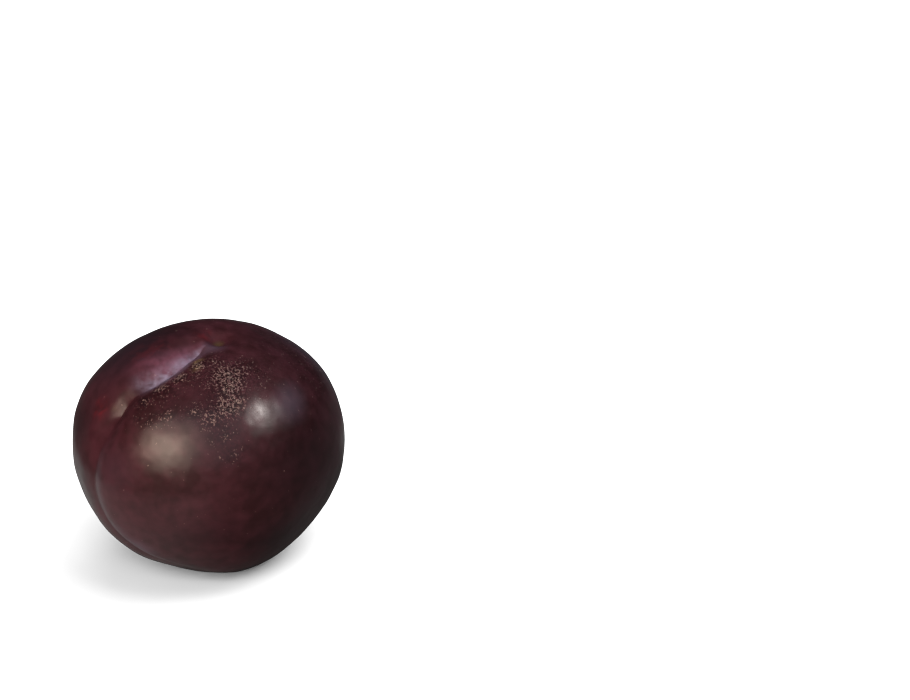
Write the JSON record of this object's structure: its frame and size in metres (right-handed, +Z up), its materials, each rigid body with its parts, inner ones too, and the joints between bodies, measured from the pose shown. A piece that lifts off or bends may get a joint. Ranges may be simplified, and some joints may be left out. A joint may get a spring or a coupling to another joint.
{
  "type": "plum",
  "caption": "Whole dark-skinned plum with a suture groove, a stem pit and a satin bloomed skin, standing on a small flat of its underside.",
  "frame": {"origin": "on the ground under the middle of the fruit's bounding box", "axes": "+Z up, the stem end nearly on top and tipped a little to the right; -Y the front, with the suture at the left front; +X right"},
  "size_m": [0.0638, 0.0614, 0.0583],
  "materials": {
    "skin": "satin dark purple-brown skin with a waxy lilac bloom in the suture and fine pale dots"
  },
  "bodies": {
    "root": {"plum": "skin"}
  },
  "joints": []
}
